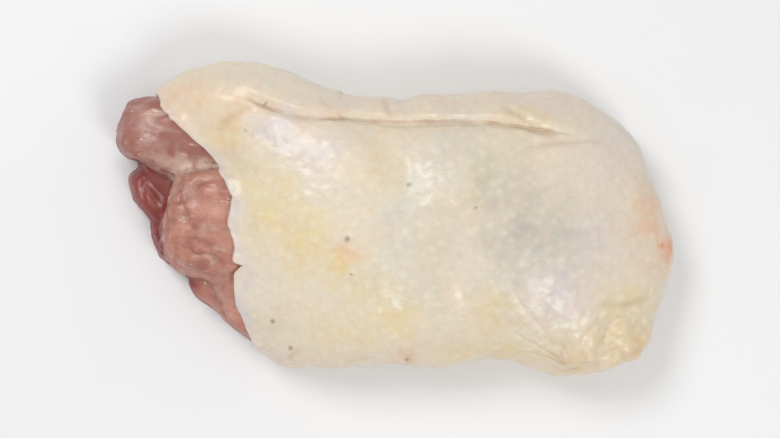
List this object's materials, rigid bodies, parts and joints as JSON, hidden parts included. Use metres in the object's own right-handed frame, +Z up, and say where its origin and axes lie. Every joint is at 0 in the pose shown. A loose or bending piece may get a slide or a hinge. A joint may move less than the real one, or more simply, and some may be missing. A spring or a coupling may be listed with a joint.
{
  "type": "raw chicken thigh",
  "caption": "Raw chicken thigh, skin side up: a plump oval of meat under pale loose skin that is folded along one edge and tucked under, with bare pink muscle at one end.",
  "frame": {"origin": "centre of the footprint's box, on the surface that the thigh rests on", "axes": "+X along the thigh from the end where meat shows to the rounded end, +Y towards the folded edge, +Z up through the skin"},
  "size_m": [0.1458, 0.0816, 0.0346],
  "materials": {
    "skin": "moist pale poultry skin",
    "meat": "moist raw poultry meat"
  },
  "bodies": {
    "root": {"chicken_thigh": "skin"}
  },
  "joints": []
}
